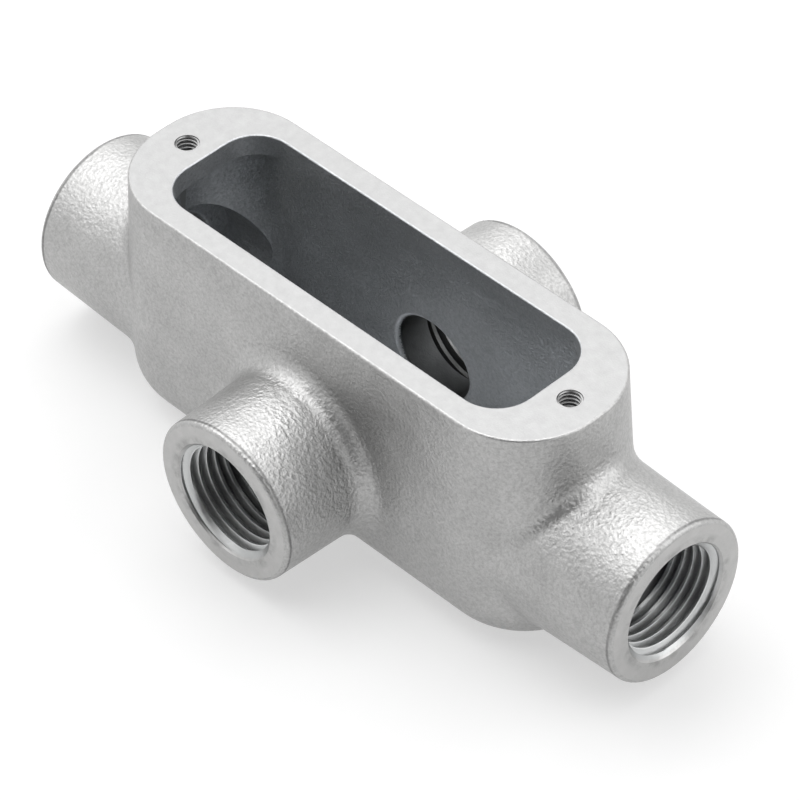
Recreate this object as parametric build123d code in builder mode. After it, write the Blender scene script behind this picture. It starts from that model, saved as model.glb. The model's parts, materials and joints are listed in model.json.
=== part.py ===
"""Cast conduit body with four threaded hubs in a cross and a long open mouth.

One malleable-iron casting, zinc plated, open at the top where a cover would screw down.
Frame: origin at the centre of the flat underside, +X along the body, +Z out of the mouth.
Units are millimetres.
"""

import os
from math import radians, tan

from build123d import *

# Rim: the flat machined face around the mouth, a little wider than the hubs
rim_length = 97.6
rim_overhang = 1.15
rim_end_flat = 2.6
rim_side_land = 4.55
rim_end_land = 10.35
rim_web = 4.0
rim_edge_radius = 0.4
mouth_corner_radius = 6.9
mouth_edge_radius = 0.3

# Box: it widens from the rim down to the hub axes and narrows again below them
body_height = 45.0
body_draft = 2.6
base_draft = 0.8
body_wall = 4.4
base_radius = 8.5
floor_radius = 5.5

# Hubs: their axes cross in the middle of the body, and their faces stand out from the rim
hub_wall = 4.1
hub_underside_gap = 2.5
hub_draft = 2.0
end_hub_length = 16.9
side_hub_length = 18.05
hub_root_radius = 3.5
hub_edge_radius = 0.8

# Hub bores, for the half-inch taper pipe thread: the bore is the thread's full depth
thread_radius = 10.4
thread_depth = 14.7
thread_chamfer = 0.3
throat_radius = 7.9
throat_lip_radius = 1.0

# Cored pocket between the chamber and the throat of each end hub
end_throat_length = 2.5
pocket_gap = 0.4

# Cover screw holes, for number 8 screws, at the thread's full depth
screw_inset = 5.8
screw_radius = 2.08

# Places worked out from the sizes
hub_radius = thread_radius + hub_wall
rim_width = 2 * (hub_radius + rim_overhang)
hub_height = hub_radius + hub_underside_gap
hub_axis_depth = body_height - hub_height
end_hub_reach = rim_length / 2 + end_hub_length
side_hub_reach = rim_width / 2 + side_hub_length
screw_spacing = rim_length - 2 * screw_inset
body_spread = hub_axis_depth * tan(radians(body_draft))
body_length = rim_length + 2 * body_spread
body_width = rim_width + 2 * body_spread
body_radius = (body_width - rim_end_flat) / 2
mouth_length = rim_length - 2 * rim_end_land
mouth_width = rim_width - 2 * rim_side_land
mouth_depth = 1.5 * rim_web
chamber_length = body_length - 2 * body_wall
chamber_width = body_width - 2 * body_wall
chamber_radius = body_radius - body_wall
pocket_radius = chamber_width / 2 - pocket_gap
pocket_end = end_hub_reach - thread_depth - end_throat_length
end_hub_depth = end_hub_reach - rim_length / 2 + body_radius
side_hub_depth = side_hub_reach - mouth_width / 2
hub_spread = tan(radians(hub_draft))

# Settings that are not sizes: how near an edge lies to a plane, and a cone that hangs from its face
near = 0.1
from_the_face = (Align.CENTER, Align.CENTER, Align.MAX)

# The two hub axes, each with the distance from the middle to its hub faces
hub_centre = (0, 0, hub_height)
hub_axes = [
    (Plane(origin=hub_centre, z_dir=(1, 0, 0)), end_hub_reach),
    (Plane(origin=hub_centre, z_dir=(0, 1, 0)), side_hub_reach),
]

# The four hub faces, each looking outwards
end_mouths = [Plane(origin=(x, 0, hub_height), z_dir=(x, 0, 0)) for x in (-end_hub_reach, end_hub_reach)]
side_mouths = [Plane(origin=(0, y, hub_height), z_dir=(0, y, 0)) for y in (-side_hub_reach, side_hub_reach)]


def round_edges(faces, plane, low, high):
    """Edges of the round walls along an axis that lie between two distances from its origin."""
    found = []
    for face in faces:
        if abs(face.axis_of_rotation.direction.dot(plane.z_dir)) < 0.999:
            continue
        for edge in face.edges():
            along = abs(plane.to_local_coords(edge.bounding_box().center()).Z)
            if edge.geom_type != GeomType.LINE and low < along < high:
                found.append(edge)
    return ShapeList(found)


def cylinders(part, radius):
    """Faces of a part that are round walls of one radius."""
    return part.faces().filter_by(lambda face: abs((face.radius or 0) - radius) < 0.001)


# Core: the air inside the casting, below the rim
with BuildPart() as core:
    with BuildSketch(Plane.XY.offset(hub_height)):
        RectangleRounded(chamber_length, chamber_width, chamber_radius)
    extrude(amount=hub_axis_depth - rim_web, taper=body_draft)
    with BuildSketch(Plane.XY.offset(hub_height)):
        RectangleRounded(chamber_length, chamber_width, chamber_radius)
    extrude(amount=body_wall - hub_height, taper=base_draft)
    fillet(core.faces().sort_by(Axis.Z)[0].edges(), floor_radius)
    with BuildSketch(hub_axes[0][0]):
        Circle(pocket_radius)
    extrude(amount=pocket_end, both=True)
    for plane, reach in hub_axes:
        with BuildSketch(plane):
            Circle(throat_radius)
        extrude(amount=reach - thread_depth, both=True)

    for plane, reach in hub_axes:
        throats = cylinders(core, throat_radius)
        fillet(round_edges(throats, plane, 0, reach - thread_depth - near), throat_lip_radius)

# Casting: box, hubs and rim, hollowed by the core and then machined
with BuildPart() as conduit_body:
    with BuildSketch(Plane.XY.offset(hub_height)):
        RectangleRounded(body_length, body_width, body_radius)
    extrude(amount=hub_axis_depth, taper=body_draft)
    with BuildSketch(Plane.XY.offset(hub_height)):
        RectangleRounded(body_length, body_width, body_radius)
    extrude(amount=-hub_height, taper=base_draft)
    fillet(conduit_body.faces().sort_by(Axis.Z)[0].edges(), base_radius)
    for mouths, depth in ((end_mouths, end_hub_depth), (side_mouths, side_hub_depth)):
        with Locations(*mouths):
            Cone(hub_radius + depth * hub_spread, hub_radius, depth, align=from_the_face)
    for plane, reach in hub_axes:
        hubs = conduit_body.faces().filter_by(GeomType.CONE)
        fillet(round_edges(hubs, plane, 0, reach - near), hub_root_radius)
        hubs = conduit_body.faces().filter_by(GeomType.CONE)
        fillet(round_edges(hubs, plane, reach - near, reach + near), hub_edge_radius)
    fillet(conduit_body.faces().sort_by(Axis.Z)[-1].edges(), rim_edge_radius)
    add(core.part, mode=Mode.SUBTRACT)
    with BuildSketch(Plane.XY.offset(body_height)):
        RectangleRounded(mouth_length, mouth_width, mouth_corner_radius)
    extrude(amount=-mouth_depth, mode=Mode.SUBTRACT)
    fillet(conduit_body.faces().sort_by(Axis.Z)[-1].inner_wires().edges(), mouth_edge_radius)
    with Locations(*end_mouths, *side_mouths):
        Hole(thread_radius, depth=thread_depth)
    for plane, reach in hub_axes:
        bores = cylinders(conduit_body, thread_radius)
        chamfer(round_edges(bores, plane, reach - near, reach + near), thread_chamfer)
    with Locations(Plane.XY.offset(body_height)):
        with GridLocations(screw_spacing, 0, 2, 1):
            Hole(screw_radius, depth=mouth_depth)

os.makedirs("parts", exist_ok=True)
conduit_body.part.label = "conduit_body"
export_step(conduit_body.part, "parts/conduit_body.step")
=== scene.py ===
"""Looks of a cast conduit body: the casting's skin, the threads in its holes, and a pale studio.

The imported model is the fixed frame: origin at the centre of the flat underside, +X along the
body, +Z out of the mouth. Blender works in metres, and names that end in _mm hold millimetres.
"""

import json
from math import cos, pi, radians, sin, tan
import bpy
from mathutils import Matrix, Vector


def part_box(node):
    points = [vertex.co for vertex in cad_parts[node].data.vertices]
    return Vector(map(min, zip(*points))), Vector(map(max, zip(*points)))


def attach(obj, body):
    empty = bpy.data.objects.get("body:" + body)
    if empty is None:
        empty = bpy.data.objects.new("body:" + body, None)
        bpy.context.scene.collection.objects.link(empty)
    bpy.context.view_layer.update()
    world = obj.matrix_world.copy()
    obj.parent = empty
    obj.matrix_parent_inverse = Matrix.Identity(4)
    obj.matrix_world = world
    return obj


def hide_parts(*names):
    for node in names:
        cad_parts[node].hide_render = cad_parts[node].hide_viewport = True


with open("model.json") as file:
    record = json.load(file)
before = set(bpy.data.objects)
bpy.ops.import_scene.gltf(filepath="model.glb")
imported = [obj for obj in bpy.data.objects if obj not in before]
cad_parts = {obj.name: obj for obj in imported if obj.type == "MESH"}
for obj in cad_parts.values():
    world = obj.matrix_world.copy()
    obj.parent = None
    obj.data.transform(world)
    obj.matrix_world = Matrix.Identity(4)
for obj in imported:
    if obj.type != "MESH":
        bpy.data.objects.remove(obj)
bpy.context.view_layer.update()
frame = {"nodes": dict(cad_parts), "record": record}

from types import SimpleNamespace

import bmesh
import bpy
import numpy as np
from mathutils import Matrix, Vector

MM = 0.001
BODY = "root"
CASTING = "conduit_body"

# Places read from the frame
mounts = {mount["name"]: mount for mount in frame["record"]["mounts"]}
hub_names = ("hub_right", "hub_left", "hub_front", "hub_back")
hub_height_mm = mounts["hub_right"]["pos_m"][2] / MM
bore_radius_mm = mounts["hub_right"]["dims"]["r_mm"]
rim_height_mm = mounts["rim_face"]["pos_m"][2] / MM
screw_spacing_mm = mounts["cover_screws"]["dims"]["spacing_x_mm"]
screw_hole_mm = mounts["cover_screws"]["dims"]["hole_r_mm"]
end_face_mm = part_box(CASTING)[1].x / MM
side_face_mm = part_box(CASTING)[1].y / MM

# Limits that tell the casting's surfaces apart, a little outside the hollows themselves.
# A face that is less than near_mm past a cut surface is still counted with it.
near_mm = 0.01
chamber_end_mm = 34.45
chamber_side_mm = 1.3
chamber_round_mm = 11.4
floor_height_mm = 4.3
pocket_radius_mm = 12.3
pocket_end_mm = 50.9
throat_radius_mm = 9.2
throat_end_mm = 18.9
throat_wall_mm = 8.05
side_throat_start_mm = 11.4
end_throat_start_mm = 49.9
bore_depth_mm = 14.7
mouth_chamfer_mm = 10.7

# Order of the casting's materials
SKIN, RIM, HUB_END, INSIDE, THROAT = range(5)

# Threads, in millimetres: bore, root, crest and mouth are radii of the plain bore, the groove's
# bottom, the crest and the mouth's chamfer. The flat is the groove's, start and end are depths
# behind the cut face, and the taper is the radius lost for each millimetre of depth.

# Half-inch tapered pipe thread, 14 turns to the inch
pipe_thread = SimpleNamespace(
    bore=bore_radius_mm, pitch=25.4 / 14, root=10.61, crest=9.28, taper=1 / 32, flat=0.07,
    mouth=mouth_chamfer_mm, start=mouth_chamfer_mm - bore_radius_mm, end=bore_depth_mm, columns=132)

# Number 8 screw thread, 32 turns to the inch, right through the rim
screw_thread = SimpleNamespace(
    bore=screw_hole_mm, pitch=25.4 / 32, root=2.1, crest=1.7, taper=0.0, flat=0.1,
    mouth=1.85, start=0.0, end=4.0, columns=48)

# How the thread sleeves are built
flank_slope = tan(radians(30))
flank_steps = 5
rows_per_turn = 2 * (flank_steps + 1)
spare_turns = 2
fade_turns = 0.5
bore_gap_mm = 0.02
merge_mm = 0.0005
sharp_angle = radians(25)
front_start_turn = 0.54

# Most of a noise field's values lie between these
noise_low, noise_high = 0.3, 0.7

# Relief of the cast skin: how far its lumps reach across, and how high they are. The pebbles are
# lower on the box. A hub's own pebbles fade between two distances from its axis, and between two
# places behind its cut end, which is at nought.
pebble_mm = 0.62
pebble_heights_mm = (0.11, 0.19)
pebble_patches = (0.35, 0.65)
speck_mm = 0.3
speck_height_mm = 0.015
patch_mm = 9.0
swells_mm = ((3.6, 0.12), (9.0, 0.22))
box_grain = 0.6
hub_grain_mm = (18.0, 25.0)
hub_root_mm = (-20.2, -17.2)

# Brightness of the cast skin, as shares of its own. The tops of its pebbles are a little less rough.
patch_contrast = 0.06
fine_range = (0.35, 0.6)
# The low parts of the pebbles and specks are darker: partly the skin's own speckle, partly painted shade in
# their pits.
pebble_shares = (0.95, 1.03)
speck_shares = (0.91, 1.03)
skin_sheen_change = -0.06

# Painted dark reflection in a line just behind a hub's cut end, on its rounding, broken by gaps, and a
# painted highlight on the lip round a side throat.
# A width says how far from its middle a line is full, and how far from it the line is gone.
edge_behind_mm, edge_wander_mm = 0.8, 0.15
edge_width_mm = (0.1, 0.35)
edge_gaps = (0.35, 0.5)
edge_gap_amount = 0.5
edge_shade_share = 0.5
lip_radius_mm = 8.4
lip_width_mm = (0.15, 0.4)

# Machined faces: mottling and fine tool marks
rim_mottle_mm, rim_contrast = 1.8, 0.05
hub_mottle_mm, hub_contrast = 2.6, 0.06
mottle_roughness = 0.6
mark_mm = 0.3
mottle_per_mark = 2.0
mark_height_mm = 0.02
cut_sheen_change = 0.05

# Hub ends: dull spots in a ring round the mouth, painted shade on the groove flanks, and painted shade at
# the bore's far end.
# The painted shade on the flanks fades towards the groove's bottom, down to the groove's amount.
spot_ring_mm = mouth_chamfer_mm + 0.4
spot_width_mm = (0.3, 1.3)
spot_mottle = (0.44, 0.62)
spot_share = 0.7
flank_start_mm = (pipe_thread.crest + 0.06, pipe_thread.crest + 0.2)
flank_fade_mm = (9.6, bore_radius_mm)
groove_amount = 0.4
chamfer_end_mm = (mouth_chamfer_mm + 0.08, mouth_chamfer_mm + 0.3)
bore_start_mm = (-0.2, -0.05)
far_end_mm = (-12.0, -6.0)
far_end_shade_share = 0.2

# Studio
floor_half_width = 0.9
floor_grey = 0.55
floor_glow = 0.5
card_grey = 0.12
card_roughness = 0.9
card_foot = 0.02
world_light = 0.3

# The photograph's camera: where it stands round the middle of the rim
camera_azimuth = radians(46.830)
camera_elevation = radians(43.385)
camera_roll = radians(-1.7474)
camera_distance = 0.72994
camera_pan = (0.004284, -0.020794)
camera_lens_mm = 209.96
sensor_mm = 36.0


def new_object(name, mesh):
    """A new object in the scene that holds a mesh."""
    made = bpy.data.objects.new(name, mesh)
    bpy.context.scene.collection.objects.link(made)
    return made


def new_material(name):
    """A material with only a metal shader and an output, and its node tree."""
    material = bpy.data.materials.new(name)
    material.use_nodes = True
    tree = material.node_tree
    tree.nodes.clear()
    shader = tree.nodes.new("ShaderNodeBsdfPrincipled")
    shader.inputs["Metallic"].default_value = 1.0
    output = tree.nodes.new("ShaderNodeOutputMaterial")
    tree.links.new(shader.outputs["BSDF"], output.inputs["Surface"])
    return material, tree, shader


def place_in_mm(tree):
    """A point's own place on the object, in millimetres."""
    coordinates = tree.nodes.new("ShaderNodeTexCoord")
    scale = tree.nodes.new("ShaderNodeVectorMath")
    scale.operation = "SCALE"
    scale.inputs["Scale"].default_value = 1 / MM
    tree.links.new(coordinates.outputs["Object"], scale.inputs[0])
    return scale.outputs["Vector"]


def noise_field(tree, place, size_mm, detail, roughness=0.5):
    """Soft random field from 0 to 1 whose lumps are about one size across."""
    field = tree.nodes.new("ShaderNodeTexNoise")
    field.inputs["Scale"].default_value = 1 / size_mm
    field.inputs["Detail"].default_value = detail
    field.inputs["Roughness"].default_value = roughness
    tree.links.new(place, field.inputs["Vector"])
    return field.outputs["Fac"]


def mapped(tree, value, low, high, new_low, new_high):
    """A value taken from one range into another, held at its ends."""
    change = tree.nodes.new("ShaderNodeMapRange")
    ends = {"From Min": low, "From Max": high, "To Min": new_low, "To Max": new_high}
    for socket, number in ends.items():
        change.inputs[socket].default_value = number
    tree.links.new(value, change.inputs["Value"])
    return change.outputs["Result"]


def varied(tree, field, middle, change):
    """A number that follows a noise field, by at most a change either way."""
    return mapped(tree, field, noise_low, noise_high, middle - change, middle + change)


def combined(tree, operation, *values):
    """One arithmetic step on values that are each a socket or a number."""
    step = tree.nodes.new("ShaderNodeMath")
    step.operation = operation
    for socket, value in zip(step.inputs, values):
        if isinstance(value, (int, float)):
            socket.default_value = value
        else:
            tree.links.new(value, socket)
    return step.outputs["Value"]


def band(tree, value, middle, full, gone):
    """One where a value is near the middle, and nought where it is farther off than gone."""
    offset = combined(tree, "ABSOLUTE", combined(tree, "SUBTRACT", value, middle))
    return mapped(tree, offset, full, gone, 1.0, 0.0)


def changed(tree, shade, amount, share):
    """A brightness taken to a share of itself where the amount is one."""
    return combined(tree, "MULTIPLY", shade, mapped(tree, amount, 0.0, 1.0, 1.0, share))


def tinted(tree, value, tint):
    """A colour of one brightness with a slight tint."""
    colour = tree.nodes.new("ShaderNodeVectorMath")
    colour.operation = "SCALE"
    colour.inputs[0].default_value = tint
    tree.links.new(value, colour.inputs["Scale"])
    return colour.outputs["Vector"]


def add_relief(tree, shader, height):
    """Relief on a surface from a height in millimetres."""
    relief = tree.nodes.new("ShaderNodeBump")
    relief.inputs["Strength"].default_value = 1.0
    relief.inputs["Distance"].default_value = MM
    tree.links.new(height, relief.inputs["Height"])
    tree.links.new(relief.outputs["Normal"], shader.inputs["Normal"])


def add_tool_marks(tree, shader, place, mottle, roughness):
    """Faint relief and uneven sheen of a machined face."""
    marks = noise_field(tree, place, mark_mm, detail=1.5)
    height = combined(tree, "ADD", combined(tree, "MULTIPLY", mottle, mottle_per_mark), marks)
    add_relief(tree, shader, combined(tree, "MULTIPLY", height, mark_height_mm))
    tree.links.new(varied(tree, marks, roughness, cut_sheen_change), shader.inputs["Roughness"])


def hub_place(tree, place):
    """On a hub: distance from its axis, and how far past its cut end, which is less than nought."""
    parts = tree.nodes.new("ShaderNodeSeparateXYZ")
    tree.links.new(place, parts.inputs["Vector"])
    along = combined(tree, "ABSOLUTE", parts.outputs["X"])
    across = combined(tree, "ABSOLUTE", parts.outputs["Y"])
    past_end = combined(tree, "SUBTRACT", along, end_face_mm)
    past_side = combined(tree, "SUBTRACT", across, side_face_mm)
    on_side = combined(tree, "GREATER_THAN", past_side, past_end)
    longer = combined(tree, "MULTIPLY", combined(tree, "SUBTRACT", along, across), on_side)
    sideways = tree.nodes.new("ShaderNodeCombineXYZ")
    tree.links.new(combined(tree, "ADD", across, longer), sideways.inputs["X"])
    tree.links.new(combined(tree, "SUBTRACT", parts.outputs["Z"], hub_height_mm), sideways.inputs["Y"])
    radius = tree.nodes.new("ShaderNodeVectorMath")
    radius.operation = "LENGTH"
    tree.links.new(sideways.outputs["Vector"], radius.inputs[0])
    return radius.outputs["Value"], combined(tree, "MAXIMUM", past_end, past_side)


def cast_zinc(name, brightness, tint, roughness, lip_highlight_share):
    """Zinc plate over a sand-cast skin: pebbly, most of all on the hubs, with a painted dark reflection
    along the hubs' cut ends and a painted highlight on the side throats' lips.
    """
    material, tree, shader = new_material(name)
    place = place_in_mm(tree)
    pebbles = noise_field(tree, place, pebble_mm, detail=1.0, roughness=0.45)
    specks = noise_field(tree, place, speck_mm, detail=1.0)
    patches = noise_field(tree, place, patch_mm, detail=3.0)
    radius, past_end = hub_place(tree, place)

    # Relief
    on_hub = combined(tree, "MULTIPLY", mapped(tree, radius, *hub_grain_mm, 1.0, 0.0),
                      mapped(tree, past_end, *hub_root_mm, 0.0, 1.0))
    grain = combined(tree, "MULTIPLY", mapped(tree, on_hub, 0.0, 1.0, box_grain, 1.0),
                     mapped(tree, patches, *pebble_patches, *pebble_heights_mm))
    height = combined(tree, "ADD", combined(tree, "MULTIPLY", pebbles, grain),
                      combined(tree, "MULTIPLY", specks, speck_height_mm))
    for swell_mm, swell_height_mm in swells_mm:
        swell = noise_field(tree, place, swell_mm, detail=0.0)
        height = combined(tree, "ADD", height, combined(tree, "MULTIPLY", swell, swell_height_mm))
    add_relief(tree, shader, height)

    # Brightness
    shade = varied(tree, patches, brightness, brightness * patch_contrast)
    # Painted shade in the low parts of the pebbles and specks, partly the skin's own speckle
    shade = combined(tree, "MULTIPLY", shade, mapped(tree, pebbles, *fine_range, *pebble_shares))
    shade = combined(tree, "MULTIPLY", shade, mapped(tree, specks, *fine_range, *speck_shares))
    # Painted dark reflection: a broken line on the rounding just behind a hub's cut end
    from_edge = combined(tree, "ADD", past_end, varied(tree, patches, edge_behind_mm, edge_wander_mm))
    edge = combined(tree, "MULTIPLY", band(tree, from_edge, 0.0, *edge_width_mm),
                    mapped(tree, patches, *edge_gaps, edge_gap_amount, 1.0))
    shade = changed(tree, shade, edge, edge_shade_share)
    # Painted highlight on the lip round a side throat
    lip = combined(tree, "MULTIPLY", band(tree, radius, lip_radius_mm, *lip_width_mm),
                   mapped(tree, past_end, *hub_root_mm, 1.0, 0.0))
    shade = changed(tree, shade, lip, lip_highlight_share)
    tree.links.new(tinted(tree, shade, tint), shader.inputs["Base Color"])
    tree.links.new(varied(tree, pebbles, roughness, skin_sheen_change), shader.inputs["Roughness"])
    return material


def cut_zinc(name, brightness, tint, roughness):
    """Zinc plate over a machined face: bright, with faint tool marks and mottling."""
    material, tree, shader = new_material(name)
    place = place_in_mm(tree)
    mottle = noise_field(tree, place, rim_mottle_mm, detail=3.0, roughness=mottle_roughness)
    add_tool_marks(tree, shader, place, mottle, roughness)
    shade = varied(tree, mottle, brightness, brightness * rim_contrast)
    tree.links.new(tinted(tree, shade, tint), shader.inputs["Base Color"])
    return material


def hub_end_zinc(name, brightness, tint, roughness, flank_shade_share, mouth_share):
    """Zinc plate over a hub's cut end and thread: dull spots round the mouth, a painted highlight on the
    thread crests, and painted shade on the flanks and the far end.
    """
    material, tree, shader = new_material(name)
    place = place_in_mm(tree)
    radius, past_end = hub_place(tree, place)
    mottle = noise_field(tree, place, hub_mottle_mm, detail=4.0, roughness=mottle_roughness)
    add_tool_marks(tree, shader, place, mottle, roughness)
    shade = varied(tree, mottle, brightness, brightness * hub_contrast)

    # Spots on the cut end, and the mouth's chamfer
    spots = combined(tree, "MULTIPLY", band(tree, radius, spot_ring_mm, *spot_width_mm),
                     mapped(tree, mottle, *spot_mottle, 0.0, 1.0))
    shade = changed(tree, shade, spots, spot_share)
    cone = combined(tree, "SUBTRACT", radius, past_end)
    past_chamfer = mapped(tree, cone, *chamfer_end_mm, 0.0, 1.0)
    shade = changed(tree, shade, combined(tree, "SUBTRACT", 1.0, past_chamfer), mouth_share)

    # Painted shade on the groove flanks inside the bore, and at its far end
    flank = combined(tree, "MULTIPLY", mapped(tree, radius, *flank_start_mm, 0.0, 1.0),
                     mapped(tree, radius, *flank_fade_mm, 1.0, groove_amount))
    in_bore = combined(tree, "MULTIPLY", past_chamfer, mapped(tree, past_end, *bore_start_mm, 1.0, 0.0))
    shade = changed(tree, shade, combined(tree, "MULTIPLY", flank, in_bore), flank_shade_share)
    shade = changed(tree, shade, mapped(tree, past_end, *far_end_mm, 1.0, 0.0), far_end_shade_share)
    tree.links.new(tinted(tree, shade, tint), shader.inputs["Base Color"])
    return material


def off_axis(places, axis):
    """Distance of each place from the hub axis along X (0) or Y (1)."""
    return np.hypot(places[:, 1 - axis], places[:, 2] - hub_height_mm)


def find_rim(centres):
    """Faces of the rim's top and of the two screw holes in it."""
    sides = np.abs(centres)
    from_screw = np.hypot(sides[:, 0] - screw_spacing_mm / 2, sides[:, 1])
    return (sides[:, 2] > rim_height_mm - near_mm) | (from_screw < screw_hole_mm + near_mm)


def find_hub_ends(centres):
    """Faces of the hubs' cut ends and of the bores behind them."""
    sides = np.abs(centres)
    found = np.zeros(len(centres), bool)
    for axis, face in ((0, end_face_mm), (1, side_face_mm)):
        in_bore = sides[:, axis] > face - bore_depth_mm - near_mm
        found |= sides[:, axis] > face - near_mm
        found |= in_bore & (off_axis(centres, axis) < mouth_chamfer_mm + near_mm)
    return found


def find_inside(centres):
    """Faces of the chamber, the pockets and the throats."""
    sides = np.abs(centres)
    past_end = np.maximum(sides[:, 0] - chamber_end_mm, 0.0)
    past_side = np.maximum(sides[:, 1] - chamber_side_mm, 0.0)
    found = (np.hypot(past_end, past_side) < chamber_round_mm) & (sides[:, 2] > floor_height_mm)
    found |= (sides[:, 0] < pocket_end_mm) & (off_axis(centres, 0) < pocket_radius_mm)
    return found | ((sides[:, 1] < throat_end_mm) & (off_axis(centres, 1) < throat_radius_mm))


def find_throats(centres):
    """Faces of the smooth throats between the hubs' bores and the hollow of the box."""
    sides = np.abs(centres)
    found = (sides[:, 1] > side_throat_start_mm) & (off_axis(centres, 1) < throat_wall_mm)
    return found | ((sides[:, 0] > end_throat_start_mm) & (off_axis(centres, 0) < throat_wall_mm))


def make_casting():
    """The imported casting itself, with a material for each kind of surface."""
    mesh = frame["nodes"][CASTING].data.copy()
    mesh.name = "casting"
    centres = np.empty(len(mesh.polygons) * 3)
    mesh.polygons.foreach_get("center", centres)
    centres = centres.reshape(-1, 3) / MM
    found = [find_rim(centres), find_hub_ends(centres), find_throats(centres), find_inside(centres)]
    mesh.materials.clear()
    mesh.polygons.foreach_set("material_index", np.select(found, [RIM, HUB_END, THROAT, INSIDE], SKIN))
    mesh.update()
    return new_object("casting", mesh)


def groove(thread, depth):
    """Radius at the bottom of the thread's groove at a depth, and half the width of its flat."""
    full = thread.root - thread.taper * depth
    held = np.minimum(full, thread.bore - bore_gap_mm)
    fade = np.clip((thread.end - depth) / (fade_turns * thread.pitch), 0.0, 1.0)
    return thread.crest + (held - thread.crest) * fade, thread.flat / 2 + (full - held) * flank_slope


def sleeve_rows(thread):
    """Depths and radii of a sleeve: its rows along the groove, and last the edge against the bore."""
    turn_share = np.arange(thread.columns) / thread.columns
    steps = np.linspace(0.0, 1.0, flank_steps + 1)
    sides = [(-1, step) for step in steps[::-1]] + [(1, step) for step in steps]
    depths, radii = [], []
    for turn in range(-spare_turns, int((thread.end - thread.start) / thread.pitch) + spare_turns + 1):
        centre = thread.start + thread.pitch * (turn + turn_share)
        bottom, half_flat = groove(thread, centre)
        for side, step in sides:
            offset = half_flat + step * (bottom - thread.crest) * flank_slope
            depth = np.clip(centre + side * offset, thread.start, thread.end)
            wall = bottom - np.maximum(np.abs(depth - centre) - half_flat, 0.0) / flank_slope
            radius = np.maximum(np.maximum(wall, thread.crest), thread.mouth - depth)
            depths.append(depth)
            radii.append(np.minimum(radius, thread.bore))
    depths.append(np.full(thread.columns, thread.end))
    radii.append(np.full(thread.columns, thread.bore))
    return np.array(depths), np.array(radii)


def sleeve_faces(count, last):
    """Faces of a sleeve with so many columns: its thread, its inner end and its plain back.

    The rows of the thread are numbered from nought, and the last row is the edge against the bore.
    """
    def corner(row, column):
        """Number of a vertex, where a step past the last column is a step up one turn."""
        over = column == count
        return (row + over * rows_per_turn) * count + column % count

    faces = [
        (corner(row, column), corner(row, column + 1), corner(row + 1, column + 1), corner(row + 1, column))
        for row in range(last - 1) for column in range(count)
        if column < count - 1 or row + rows_per_turn < last - 1]
    inner, outer = (last - 1) * count, last * count
    for column in range(count):
        beside = (column + 1) % count
        faces.append((inner + column, inner + beside, outer + beside, outer + column))
        faces.append((outer + column, outer + beside, beside, column))
    return faces


def thread_sleeve(name, thread, mouth, inward, start_turn, material):
    """A closed sleeve between a plain bore and the right-handed thread that is cut there."""
    depths, radii = sleeve_rows(thread)
    angles = 2 * pi * (start_turn + np.arange(thread.columns) / thread.columns)
    places = np.stack((radii * np.cos(angles), radii * np.sin(angles), depths), axis=-1)
    mesh = bpy.data.meshes.new(name)
    faces = sleeve_faces(thread.columns, len(depths) - 1)
    mesh.from_pydata((places.reshape(-1, 3) * MM).tolist(), [], faces)
    across = Vector((0.0, 0.0, 1.0)) if abs(inward.z) < 0.5 else Vector((1.0, 0.0, 0.0))
    turned = Matrix((across, inward.cross(across), inward)).transposed().to_4x4()
    bm = bmesh.new()
    bm.from_mesh(mesh)
    bmesh.ops.remove_doubles(bm, verts=bm.verts, dist=merge_mm * MM)
    bmesh.ops.recalc_face_normals(bm, faces=bm.faces)
    bm.transform(Matrix.Translation(mouth * MM) @ turned)
    bm.to_mesh(mesh)
    bm.free()
    mesh.polygons.foreach_set("use_smooth", np.ones(len(mesh.polygons), bool))
    mesh.set_sharp_from_angle(angle=sharp_angle)
    mesh.materials.append(material)
    sleeve = new_object(name, mesh)
    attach(sleeve, BODY)


def seen_directly(tree):
    """One for rays from the camera, a mirror or glass, nought for the rest."""
    path = tree.nodes.new("ShaderNodeLightPath")
    seen = combined(tree, "MAXIMUM", path.outputs["Is Camera Ray"], path.outputs["Is Glossy Ray"])
    return combined(tree, "MAXIMUM", seen, path.outputs["Is Transmission Ray"])


def make_floor():
    """A wide sheet of pale paper, lifted to white where it is seen, so that only shadows show."""
    material = bpy.data.materials.new("floor_paper")
    material.use_nodes = True
    tree = material.node_tree
    tree.nodes.clear()
    output = tree.nodes.new("ShaderNodeOutputMaterial")
    paper = tree.nodes.new("ShaderNodeBsdfDiffuse")
    paper.inputs["Color"].default_value = (floor_grey, floor_grey, floor_grey, 1.0)
    glow = tree.nodes.new("ShaderNodeEmission")
    tree.links.new(combined(tree, "MULTIPLY", seen_directly(tree), floor_glow), glow.inputs["Strength"])
    both = tree.nodes.new("ShaderNodeAddShader")
    tree.links.new(paper.outputs["BSDF"], both.inputs[0])
    tree.links.new(glow.outputs["Emission"], both.inputs[1])
    tree.links.new(both.outputs["Shader"], output.inputs["Surface"])
    bm = bmesh.new()
    bmesh.ops.create_grid(bm, x_segments=1, y_segments=1, size=floor_half_width)
    mesh = bpy.data.meshes.new("floor")
    bm.to_mesh(mesh)
    bm.free()
    mesh.materials.append(material)
    new_object("floor", mesh)


def make_card(place, width, top):
    """A dark upright card, out of sight of the camera, that shades what faces it."""
    material = bpy.data.materials.new("card_black")
    material.use_nodes = True
    shader = material.node_tree.nodes["Principled BSDF"]
    shader.inputs["Base Color"].default_value = (card_grey, card_grey, card_grey, 1.0)
    shader.inputs["Roughness"].default_value = card_roughness
    toward = Vector((*place, 0.0)).normalized()
    across = Vector((-toward.y, toward.x, 0.0)) * width / 2
    low, high = Vector((*place, card_foot)), Vector((*place, top))
    mesh = bpy.data.meshes.new("card")
    mesh.from_pydata([low - across, low + across, high + across, high - across], [], [(0, 1, 2, 3)])
    mesh.materials.append(material)
    card = new_object("card", mesh)
    card.visible_camera = False
    card.visible_shadow = False


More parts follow.
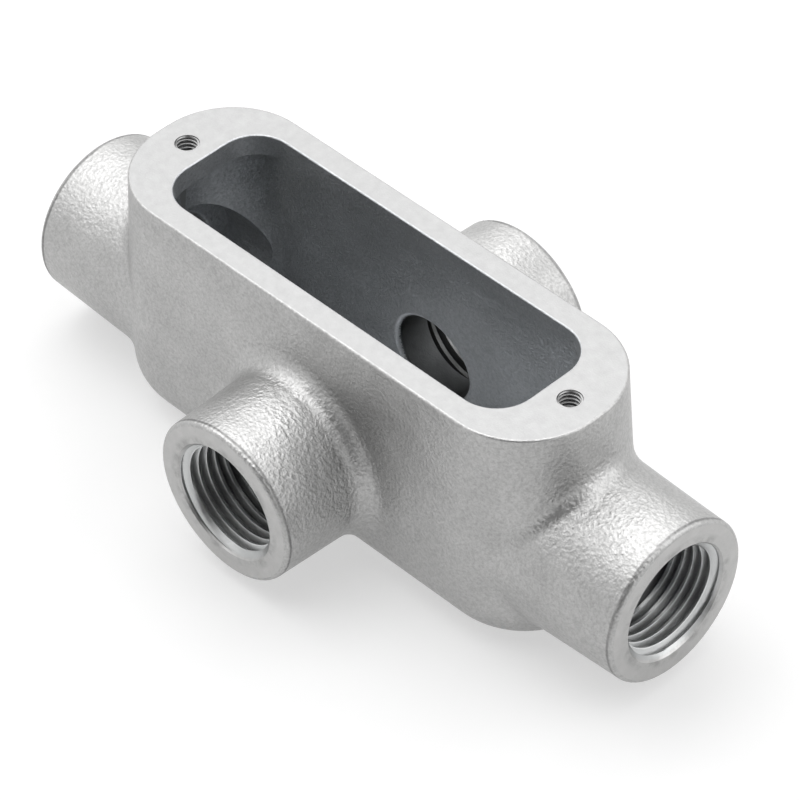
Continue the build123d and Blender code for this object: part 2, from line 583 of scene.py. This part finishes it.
def make_world():
    """White where it is seen, and a softer grey as light."""
    world = bpy.data.worlds.new("studio")
    bpy.context.scene.world = world
    world.use_nodes = True
    tree = world.node_tree
    background = tree.nodes["Background"]
    background.inputs["Color"].default_value = (1.0, 1.0, 1.0, 1.0)
    strength = mapped(tree, seen_directly(tree), 0.0, 1.0, world_light, 1.0)
    tree.links.new(strength, background.inputs["Strength"])


def make_lamp(name, place, size, power):
    """A soft square lamp that looks at the object."""
    data = bpy.data.lights.new(name, "AREA")
    data.shape = "SQUARE"
    data.size = size
    data.energy = power
    lamp = bpy.data.objects.new(name, data)
    bpy.context.scene.collection.objects.link(lamp)
    lamp.location = place
    target = Vector((0.0, 0.0, hub_height_mm * MM))
    lamp.rotation_euler = (target - Vector(place)).to_track_quat("-Z", "Y").to_euler()


def make_camera():
    """The camera that took the photograph, with the same framing."""
    az, el, roll = camera_azimuth, camera_elevation, camera_roll
    back = Vector((sin(az) * cos(el), -cos(az) * cos(el), sin(el)))
    level_right = Vector((cos(az), sin(az), 0.0))
    level_up = back.cross(level_right)
    right = level_right * cos(roll) + level_up * sin(roll)
    up = level_up * cos(roll) - level_right * sin(roll)
    data = bpy.data.cameras.new("photo_camera")
    data.sensor_width = sensor_mm
    data.lens = camera_lens_mm
    camera = bpy.data.objects.new("photo_camera", data)
    bpy.context.scene.collection.objects.link(camera)
    rim_middle = Vector((0.0, 0.0, rim_height_mm * MM))
    place = rim_middle + back * camera_distance + right * camera_pan[0] + up * camera_pan[1]
    turn = Matrix((right, up, back)).transposed().to_4x4()
    camera.matrix_world = Matrix.Translation(place) @ turn
    bpy.context.scene.camera = camera


# The metals. A share of one leaves the lip, the flanks or the mouth as bright as the rest: no painted
# highlight on the lip, and no painted shade on the flanks.
skin_metal = cast_zinc(
    "cast_skin", brightness=0.45, tint=(1.0, 0.997, 0.99), roughness=0.46, lip_highlight_share=1.0)
# The hollow's copy of the cast skin is lighter and cooler: painted light inside the body.
inside_metal = cast_zinc(
    "cast_inside", brightness=0.50, tint=(0.975, 1.0, 1.025), roughness=0.46, lip_highlight_share=1.35)
rim_metal = cut_zinc("rim_metal", brightness=0.37, tint=(1.0, 1.0, 1.0), roughness=0.42)
# The throats' copy is much darker: painted shade deep inside the body, where light comes in through the
# bores.
throat_metal = cut_zinc("throat_metal", brightness=0.17, tint=(0.97, 1.0, 1.02), roughness=0.38)
hub_end_metal = hub_end_zinc(
    "hub_end_metal", brightness=0.46, tint=(1.0, 0.995, 0.985), roughness=0.36,
    flank_shade_share=1.0, mouth_share=1.0)
# The thread's copy is brighter: a painted highlight on its crests, with painted shade on its flanks and its
# mouth's chamfer brought back down.
thread_metal = hub_end_zinc(
    "thread_metal", brightness=0.70, tint=(0.985, 1.0, 1.0), roughness=0.36,
    flank_shade_share=0.75, mouth_share=0.65)

# The casting, with its metals in their order
casting = make_casting()
for metal in (skin_metal, rim_metal, hub_end_metal, inside_metal, throat_metal):
    casting.data.materials.append(metal)
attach(casting, BODY)
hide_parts(CASTING)

# The threads: four hubs and two screw holes
for hub in hub_names:
    axis = Vector(mounts[hub]["axis"])
    mouth = Vector((end_face_mm * axis.x, side_face_mm * axis.y, hub_height_mm))
    start_turn = front_start_turn if hub == "hub_front" else 0.0
    thread_sleeve(hub + "_thread", pipe_thread, mouth, -axis, start_turn, thread_metal)
for side, x in (("left", -screw_spacing_mm / 2), ("right", screw_spacing_mm / 2)):
    mouth = Vector((x, 0.0, rim_height_mm))
    thread_sleeve("screw_thread_" + side, screw_thread, mouth, Vector((0.0, 0.0, -1.0)), 0.0, rim_metal)

# The studio, in metres and watts: the dark card stands on the camera's side
make_floor()
make_world()
make_card(place=(0.46, -0.66), width=1.1, top=1.3)
make_lamp("top", place=(-0.06, 0.05, 0.90), size=0.8, power=3.2)
make_lamp("left", place=(-0.50, -0.28, 0.70), size=0.8, power=2.5)
make_lamp("back", place=(-0.43, 0.40, 0.65), size=0.8, power=2.2)
make_lamp("right", place=(0.60, 0.46, 0.48), size=0.7, power=2.2)
make_camera()
bpy.context.scene.view_settings.view_transform = "Standard"
